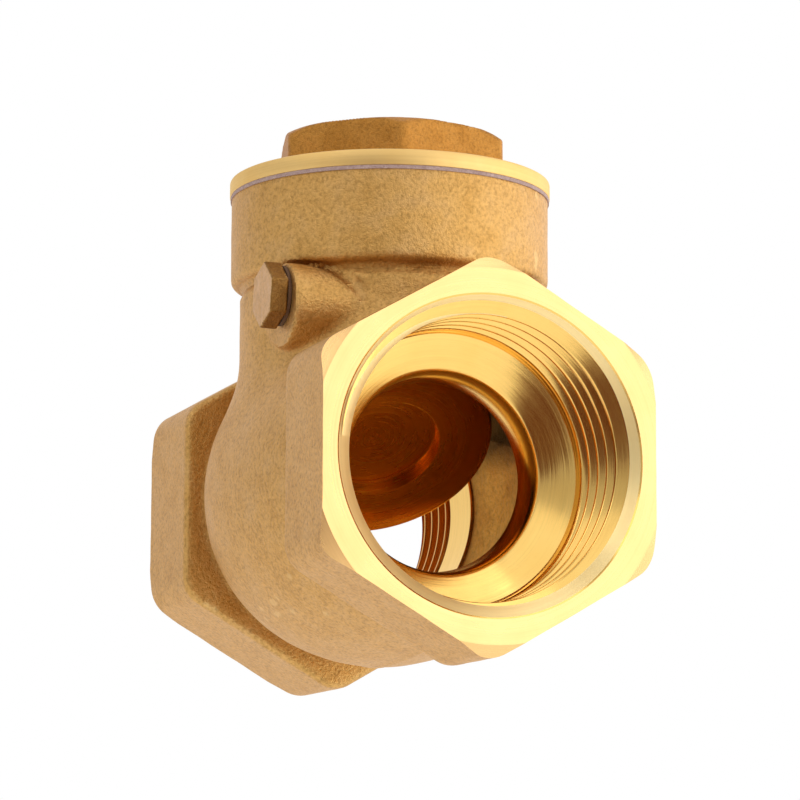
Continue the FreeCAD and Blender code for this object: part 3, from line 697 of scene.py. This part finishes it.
# ---------------------------------------------------------------------------------------------
# Housing
# ---------------------------------------------------------------------------------------------
def make_body():
    points, faces = net_points(casting, (-33.6, -20.6, -22.0), (33.6, 20.6, 35.4), BODY_STEP)
    body = add_mesh("valve_body", points, faces, material=CAST)

    outside = ACROSS_FLATS
    tools = []
    bevel_low = ACROSS_FLATS / math.sqrt(3) + 0.2
    for side, name in ((1, "inlet"), (-1, "outlet")):
        end = [(CUT_END, outside), (HALF_LENGTH - END_BEVEL_DEPTH, outside),
               (HALF_LENGTH - END_BEVEL_DEPTH, bevel_low), (HALF_LENGTH, END_FACE_RADIUS)]
        profile = [(along * side, radius) for along, radius in end]
        tools.append(add_mesh(f"cut_end_{name}", *lathe_points(profile), material=TURNED_FACE))

    chamber = arc_profile(SEAT_WALL, -RELIEF_END, BELLY_MIDDLE, CHAMBER_RADIUS, CHAMBER_ARC, 14)
    cone = (THREAD_CREST - LIP_RADIUS) / (THREAD_END - SHOULDER_END)
    core = THREAD_CREST - THREAD_ROOM
    waterway = [
        (CUT_END, MOUTH_RADIUS + MOUTH_BREAK), (HALF_LENGTH + 0.02, MOUTH_RADIUS + MOUTH_BREAK),
        (HALF_LENGTH - 0.15, MOUTH_RADIUS),
        (HALF_LENGTH - MOUTH_DEPTH - THREAD_ROOM, core),
        (THREAD_END - THREAD_ROOM / cone, core),
        (SHOULDER_END + 0.16, LIP_RADIUS + 0.36), (SHOULDER_END, LIP_RADIUS + 0.1),
        (SHOULDER_END - 0.14, LIP_RADIUS - 0.04), (THROAT_FRONT, THROAT_RADIUS),
        (SEAT_FACE + 0.2, SEAT_BORE + 0.02), (SEAT_FACE + 0.05, SEAT_BORE + 0.08),
        (SEAT_FACE, SEAT_BORE + 0.22),
        (SEAT_FACE, SEAT_OUTER - 0.15), (SEAT_FACE + 0.15, SEAT_OUTER),
        (SEAT_WALL, SEAT_OUTER),
    ] + chamber + [
        (-RELIEF_END, RELIEF_RADIUS + 0.15), (-RELIEF_END - 0.15, RELIEF_RADIUS),
        (-HALF_LENGTH + MOUTH_DEPTH + THREAD_ROOM, RELIEF_RADIUS),
        (-HALF_LENGTH - 0.02, MOUTH_RADIUS),
        (-CUT_END, MOUTH_RADIUS),
    ]
    tools.append(add_mesh("cut_waterway", *lathe_points(waterway), material=TURNED))
    tools.append(add_mesh(
        "cut_thread_inlet",
        *thread_points(THREAD_END - 0.05, HALF_LENGTH + 1.0, THREAD_END + 1.8, THREAD_END + 0.2,
                       INLET_THREAD_PHASE),
        material=TURNED))
    tools.append(add_mesh(
        "cut_thread_outlet",
        *thread_points(-HALF_LENGTH - 1.0, -THREAD_END + 0.05, -THREAD_END - 1.0,
                       -THREAD_END - 0.1),
        material=TURNED_OUTLET_SHADE))

    neck = [(COLLAR_TOP + 3.0, NECK_BORE_RADIUS + 3.3), (COLLAR_TOP, NECK_BORE_RADIUS + 0.3),
            (COLLAR_TOP - 0.3, NECK_BORE_RADIUS), (NECK_BORE_FLOOR, NECK_BORE_RADIUS)]
    tools.append(add_mesh("cut_neck", *lathe_points(neck, "Z"), material=TURNED_NECK_SHADE))
    top = [(COLLAR_TOP + 4.0, 25.0), (COLLAR_TOP, 25.0)]
    tools.append(add_mesh("cut_top", *lathe_points(top, "Z"), material=TURNED_CAP))
    flat = math.acos(NECK_FLAT / NECK_BORE_RADIUS)
    angles = np.linspace(flat, 2 * math.pi - flat, 121)
    rim = [(NECK_BORE_RADIUS * math.cos(a), NECK_BORE_RADIUS * math.sin(a)) for a in angles]
    count = len(rim)
    prism = [(x, y, 0.0) for x, y in rim] + [(x, y, NECK_BORE_FLOOR + 0.05) for x, y in rim]
    sides = [(i, (i + 1) % count, count + (i + 1) % count, count + i) for i in range(count)]
    sides += [tuple(range(count))[::-1], tuple(range(count, 2 * count))]
    tools.append(add_mesh("cut_opening", np.array(prism), sides, material=CAST_INSIDE_SHADED))
    pin = [(-BOSS_FACE - 1.0, PLUG_HOLE + 1.2), (-BOSS_FACE, PLUG_HOLE + 0.2),
           (-BOSS_FACE + 0.2, PLUG_HOLE), (-PLUG_HOLE_END, PLUG_HOLE), (-PLUG_HOLE_END, PIN_BORE),
           (PIN_BORE_END, PIN_BORE)]
    tools.append(add_mesh("cut_pin", *lathe_points(pin, "Y", (HINGE_X, 0.0, HINGE_Z), 48),
                          material=TURNED))
    combine(body, tools, "DIFFERENCE")

    # the chamber's wall keeps its cast skin, painted dark above a height as painted shade, and the
    # mouths' chamfers are turned more roughly and painted paler, as painted highlight
    inside_slot = body.data.materials.find(CAST_INSIDE_SHADED.name)
    body.data.materials.append(TURNED_MOUTH_LIT)
    mouth_lit_slot = len(body.data.materials) - 1
    for face in body.data.polygons:
        x, y, z = (c / MM for c in face.center)
        x += HALF_LENGTH
        in_chamber = -RELIEF_END - 0.01 < x < SEAT_WALL - 0.02 and z < NECK_BORE_FLOOR
        if in_chamber and SEAT_OUTER + 0.2 < math.hypot(y, z) < CHAMBER_RADIUS + 0.3:
            face.material_index = inside_slot
        in_mouth = HALF_LENGTH - MOUTH_DEPTH - 0.1 < abs(x) < HALF_LENGTH - 0.01
        if in_mouth and abs(abs(face.normal.x) - 0.7) < 0.05 and math.hypot(y, z) < MOUTH_RADIUS:
            face.material_index = mouth_lit_slot
    finish_shading(body)
    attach(body, "housing")
    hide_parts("body")


def cap_casting(x, y, z):
    """The cap's hexagon and the plate under it, before the flange is joined on."""
    c, s = math.cos(CAP_TURN), math.sin(CAP_TURN)
    across = hexagon_distance(x * c + y * s, y * c - x * s, CAP_HEX_CORNER * math.sqrt(3) / 2,
                              CAP_HEX_ROUND)
    high = slab(across, np.abs(z - (FLANGE_LOW + CAP_HEX_SINK + CAP_TOP) / 2)
                - (CAP_TOP - FLANGE_LOW - CAP_HEX_SINK) / 2, 0.15)
    plate = slab(np.hypot(x, y) - FLANGE_RADIUS + 1.0,
                 np.abs(z - CAP_PLATE_MIDDLE) - CAP_PLATE_HALF, 0.1)
    shape = smooth_min(high, plate, 0.9)
    # the top edge is a blunt cone
    cone = (np.hypot(x, y) - CAP_BEVEL_RADIUS + (z - CAP_TOP)
            * (CAP_HEX_CORNER - CAP_BEVEL_RADIUS) / CAP_BEVEL_DEPTH) * CAP_CONE_SLOPE
    shape = smooth_max(shape, cone, 0.25)
    uneven = 0.03 * (waves(x, y, z, 7.0, 21) + 0.7 * waves(x, y, z, 2.5, 22) - 1.2)
    return shape - uneven


def make_cap():
    points, faces = net_points(cap_casting, (-18.2, -18.2, 33.3), (18.2, 18.2, 40.6), CAP_STEP)
    cap = add_mesh("valve_cap", points, faces, material=CAST_CAP)
    flange = [
        (SPIGOT_BOTTOM, SPIGOT_RADIUS - 0.8), (SPIGOT_BOTTOM + 0.8, SPIGOT_RADIUS),
        (FLANGE_LOW, SPIGOT_RADIUS), (FLANGE_LOW, FLANGE_RADIUS - 0.12),
        (FLANGE_LOW + 0.04, FLANGE_RADIUS - 0.04), (FLANGE_LOW + 0.12, FLANGE_RADIUS),
        (FLANGE_HIGH - 0.22, FLANGE_RADIUS), (FLANGE_HIGH - 0.08, FLANGE_RADIUS - 0.05),
        (FLANGE_HIGH, FLANGE_RADIUS - 0.2),
    ]
    ring = add_mesh("join_flange", *lathe_points(flange, "Z"), material=TURNED_CAP)
    combine(cap, [ring], "UNION")
    hollow = [(SPIGOT_BOTTOM - 1.0, SPIGOT_BORE + 1.3), (SPIGOT_BOTTOM + 0.3, SPIGOT_BORE),
              (CAP_HOLLOW_TOP - 0.5, SPIGOT_BORE), (CAP_HOLLOW_TOP, SPIGOT_BORE - 0.5)]
    tool = add_mesh("cut_hollow", *lathe_points(hollow, "Z"), material=CAST_CAP)
    combine(cap, [tool], "DIFFERENCE")
    finish_shading(cap)
    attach(cap, "housing")
    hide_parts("cap")


def plug_casting(x, y, z):
    """The plug's hexagonal head and its shank."""
    low = -BOSS_FACE - PLUG_WASHER
    up, side = z - HINGE_Z, x - HINGE_X
    across = hexagon_distance(up * math.cos(PLUG_TURN) + side * math.sin(PLUG_TURN),
                              side * math.cos(PLUG_TURN) - up * math.sin(PLUG_TURN),
                              PLUG_FLATS / 2, 0.3)
    head = slab(across, np.abs(y - low + PLUG_HEAD / 2) - PLUG_HEAD / 2, 0.22)
    shank = slab(np.hypot(side, up) - PLUG_SHANK,
                 np.abs(y + BOSS_FACE - PLUG_SHANK_LENGTH / 2 + 0.6)
                 - PLUG_SHANK_LENGTH / 2 - 0.6, 0.3)
    uneven = 0.03 * (waves(x, y, z, 3.0, 31) + waves(x, y, z, 1.2, 32) - 1.2)
    return np.minimum(head - uneven, shank)


def make_plug():
    points, faces = net_points(plug_casting, (5.9, -18.9, 15.2), (14.1, -12.6, 23.6), PLUG_STEP)
    plug = add_mesh("pin_plug_head", points, faces, material=PLUG_SIDE_SHADE)
    # painted shade: the head's sides get the much darker brass, and only its end face, towards -Y,
    # keeps the plain colour
    plug.data.materials.append(PLUG_FACE)
    for face in plug.data.polygons:
        face.material_index = int(face.normal.y < -0.9)
    finish_shading(plug, 45.0)
    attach(plug, "housing")
    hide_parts("pin_plug")


# ---------------------------------------------------------------------------------------------
# Clapper
# ---------------------------------------------------------------------------------------------
ARM_FRONT = DISC_FACE - DISC_BACK - STACK_GAP
ARM_BACK = ARM_FRONT - ARM_THICKNESS


def arm_casting(x, y, z):
    """The arm about the hinge axis, shut: hub, plate down to the eye, and a rib between."""
    hub = slab(np.hypot(x, z) - HUB_RADIUS, np.abs(y) - HUB_WIDTH / 2, 0.3)
    low = -HINGE_Z
    along = np.clip((z - low) / -low, 0.0, 1.0)
    width = EYE_RADIUS + (ARM_HALF_WIDTH - EYE_RADIUS) * along
    strip = np.maximum(np.abs(y) - width, np.abs(z - low / 2) + low / 2)
    outline = np.minimum(strip, np.hypot(y, z - low) - EYE_RADIUS)
    through = np.abs(x - (ARM_FRONT + ARM_BACK) / 2) - ARM_THICKNESS / 2
    plate = slab(outline, through, 0.35)
    rib = np.maximum(through, np.abs(z + 3.9) - 4.0)
    rib = slab(rib, np.abs(y) - RIB_WIDTH / 2, 0.3)
    shape = smooth_min(hub, smooth_min(plate, rib, 0.4), 1.2)
    uneven = 0.03 * (waves(x, y, z, 5.0, 41) + 0.7 * waves(x, y, z, 2.0, 42) - 1.0)
    return np.maximum(shape - uneven, ARM_BACK - x)


def make_clapper():
    points, faces = net_points(arm_casting, (-6.0, -7.2, -26.2), (4.0, 7.2, 4.0), ARM_STEP)
    arm = add_mesh("clapper_arm_casting", points, faces, clapper_to_frame, CAST_CLAPPER)
    pin = [(-8.0, PIN_BORE), (8.0, PIN_BORE)]
    eye = [(ARM_FRONT + 1.0, EYE_BORE), (ARM_BACK - 1.0, EYE_BORE)]
    tools = [
        add_mesh("cut_arm_pin", *lathe_points(pin, "Y", segments=48), clapper_to_frame, NUT),
        add_mesh("cut_arm_eye", *lathe_points(eye, "X", (0.0, 0.0, -HINGE_Z), 48),
                 clapper_to_frame, NUT),
    ]
    combine(arm, tools, "DIFFERENCE")
    finish_shading(arm)
    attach(arm, "clapper")
    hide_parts("clapper_arm")

    f = DISC_FACE
    profile = [
        (f - RECESS_DEPTH, 0.35), (f - RECESS_DEPTH, RECESS_RADIUS - 0.35),
        (f - RECESS_DEPTH + 0.1, RECESS_RADIUS - 0.1), (f - RECESS_DEPTH + 0.35, RECESS_RADIUS),
        (f - 0.14, RECESS_RADIUS), (f - 0.04, RECESS_RADIUS + 0.04), (f, RECESS_RADIUS + 0.14),
        (f, DISC_RADIUS - DISC_EDGE), (f - 0.1, DISC_RADIUS - 0.1),
        (f - DISC_EDGE, DISC_RADIUS), (f - DISC_RIM + 0.8, DISC_RADIUS),
        (f - DISC_RIM + 0.2, DISC_RADIUS - 0.2), (f - DISC_RIM, DISC_RADIUS - 0.8),
        (f - DISC_RIM, DISC_BACK_RADIUS + 1.0), (f - DISC_BACK + 0.1, DISC_BACK_RADIUS + 0.15),
        (f - DISC_BACK, DISC_BACK_RADIUS - 0.1), (f - DISC_BACK, STUD_RADIUS),
        (STUD_END + 0.4, STUD_RADIUS), (STUD_END, STUD_RADIUS - 0.4),
    ]
    disc = add_mesh("clapper_disc", *lathe_points(profile, "X", (0.0, 0.0, -HINGE_Z)),
                    clapper_to_frame, TURNED_DISC_REFLECTION)
    finish_shading(disc, 25.0)
    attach(disc, "disc_assembly")
    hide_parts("disc")


make_body()
make_cap()
make_plug()
make_clapper()

for node, material in (("cap_gasket", GASKET), ("plug_washer", WASHER_SHADE), ("hinge_pin", STEEL),
                       ("disc_washer", NUT), ("disc_nut", NUT)):
    for slot in bpy.data.objects[node].material_slots:
        slot.material = material


# ---------------------------------------------------------------------------------------------
# Camera, floor and light
# ---------------------------------------------------------------------------------------------
SUBJECT = Vector((-HALF_LENGTH, 0.0, 6.0)) * MM
CAMERA_TARGET = Vector((-HALF_LENGTH, 0.0, 5.6)) * MM
CAMERA_AZIMUTH = math.radians(69.53)
CAMERA_ELEVATION = math.radians(-8.54)
CAMERA_ROLL = math.radians(0.31)
CAMERA_DISTANCE = 0.3661
LENS = 145.9
SHIFT = (0.0144, 0.0529)

# how bright the surroundings are, from straight behind the camera to the backdrop
WORLD_LEVELS = ((0.02, 0.55), (0.5, 0.62), (0.8, 0.85), (0.95, 1.0))
BACKDROP = (-0.926, 0.346, 0.149)
FLOOR_HEIGHT = -0.2
FLOOR_GLOW = 0.35

# name, direction from the valve, distance, width and height in metres, and watts
SOFTBOXES = (
    ("key_front_right", (0.9, 0.42, 0.18), 0.8, 0.5, 0.6, 1.15),
    ("key_above", (0.78, -0.25, 0.58), 0.8, 0.5, 0.42, 0.36),
    ("key_low_front", (0.75, 0.33, -0.58), 0.8, 0.5, 0.45, 0.75),
    ("key_left_high", (0.25, -0.75, 0.6), 0.8, 0.5, 0.4, 0.75),
    ("key_back_right", (-0.3, 0.95, 0.15), 0.8, 0.5, 0.6, 0.8),
    ("key_right", (0.42, 0.9, 0.2), 0.8, 0.6, 0.7, 1.8),
    ("top", (0.35, 0.2, 1.0), 0.9, 0.7, 0.7, 1.4),
)


def add_camera():
    data = bpy.data.cameras.new("view")
    data.sensor_width = 36.0
    data.lens = LENS
    data.shift_x, data.shift_y = SHIFT
    data.clip_start = 0.01
    data.dof.use_dof = False
    camera = bpy.data.objects.new("view", data)
    level = math.cos(CAMERA_ELEVATION)
    back = Vector((math.sin(CAMERA_AZIMUTH) * level, -math.cos(CAMERA_AZIMUTH) * level,
                   math.sin(CAMERA_ELEVATION)))
    right = Vector((math.cos(CAMERA_AZIMUTH), math.sin(CAMERA_AZIMUTH), 0.0))
    up = back.cross(right)
    tilted_right = right * math.cos(CAMERA_ROLL) + up * math.sin(CAMERA_ROLL)
    tilted_up = up * math.cos(CAMERA_ROLL) - right * math.sin(CAMERA_ROLL)
    turn = Matrix((tilted_right, tilted_up, back)).transposed().to_4x4()
    camera.matrix_world = Matrix.Translation(CAMERA_TARGET + back * CAMERA_DISTANCE) @ turn
    bpy.context.scene.collection.objects.link(camera)
    bpy.context.scene.camera = camera


def add_softbox(name, direction, distance, width, height, power):
    """An area light that faces the valve from a direction."""
    data = bpy.data.lights.new(name, "AREA")
    data.shape = "RECTANGLE"
    data.size = width
    data.size_y = height
    data.energy = power
    lamp = bpy.data.objects.new(name, data)
    way = Vector(direction).normalized()
    lamp.location = SUBJECT + way * distance
    lamp.rotation_euler = way.to_track_quat("Z", "Y").to_euler()
    bpy.context.scene.collection.objects.link(lamp)


def add_world():
    """Soft studio surroundings: a white backdrop, and dimmer away from it."""
    world = bpy.data.worlds.new("studio")
    bpy.context.scene.world = world
    world.use_nodes = True
    tree = world.node_tree
    background = tree.nodes["Background"]
    coords = tree.nodes.new("ShaderNodeTexCoord")
    facing = tree.nodes.new("ShaderNodeVectorMath")
    facing.operation = "DOT_PRODUCT"
    facing.inputs[1].default_value = Vector(BACKDROP).normalized()
    spread = tree.nodes.new("ShaderNodeMapRange")
    ramp = tree.nodes.new("ShaderNodeValToRGB")
    tree.links.new(coords.outputs["Generated"], facing.inputs[0])
    tree.links.new(facing.outputs["Value"], spread.inputs["Value"])
    spread.inputs["From Min"].default_value = -1.0
    spread.inputs["From Max"].default_value = 1.0
    tree.links.new(spread.outputs["Result"], ramp.inputs["Fac"])
    elements = ramp.color_ramp.elements
    for place, level in WORLD_LEVELS:
        elements.new(place).color = (level, level, level, 1.0)
    elements.remove(elements[0])
    tree.links.new(ramp.outputs["Color"], background.inputs["Color"])
    background.inputs["Strength"].default_value = 1.0


def add_floor():
    mesh = bpy.data.meshes.new("floor")
    work = bmesh.new()
    bmesh.ops.create_grid(work, x_segments=8, y_segments=8, size=3.0)
    work.to_mesh(mesh)
    work.free()
    floor = bpy.data.objects.new("floor", mesh)
    floor.location = (0.0, 0.0, FLOOR_HEIGHT)
    n = Nodes("floor_paper")
    coords = n.place()
    grain = n.noise(coords, 0.4, 3.0)
    n.link(n.ramp(grain, [(0.3, (0.7, 0.7, 0.69)), (0.7, (0.76, 0.76, 0.75))]),
           n.shader.inputs["Base Color"])
    n.shader.inputs["Roughness"].default_value = 0.8
    n.shader.inputs["Emission Color"].default_value = (1.0, 1.0, 1.0, 1.0)
    n.shader.inputs["Emission Strength"].default_value = FLOOR_GLOW
    mesh.materials.append(n.material)
    bpy.context.scene.collection.objects.link(floor)


def add_flag(direction, distance, width, height, roll):
    """A dark card beside the lens, for the polished bore to reflect.  The camera can't see it."""
    way = Vector(direction).normalized()
    turn = way.to_track_quat("Z", "Y").to_matrix() @ Matrix.Rotation(roll, 3, "Z")
    centre = SUBJECT + way * distance
    corners = [centre + turn @ Vector((x * width / 2, y * height / 2, 0.0))
               for x, y in ((-1, -1), (1, -1), (1, 1), (-1, 1))]
    mesh = bpy.data.meshes.new("flag")
    mesh.from_pydata([tuple(c) for c in corners], [], [(0, 1, 2, 3)])
    n = Nodes("flag_felt")
    weave = n.noise(n.place(), 1.5, 3.0)
    n.link(n.ramp(weave, [(0.3, (0.08, 0.022, 0.003)), (0.7, (0.11, 0.03, 0.005))]),
           n.shader.inputs["Base Color"])
    n.shader.inputs["Roughness"].default_value = 0.9
    mesh.materials.append(n.material)
    flag = bpy.data.objects.new("flag", mesh)
    flag.visible_camera = False
    bpy.context.scene.collection.objects.link(flag)


add_camera()
add_world()
add_floor()
add_flag((0.83, -0.43, -0.35), 0.42, 0.25, 0.43, math.radians(38.0))
for box in SOFTBOXES:
    add_softbox(*box)
bpy.context.scene.view_settings.view_transform = "Standard"
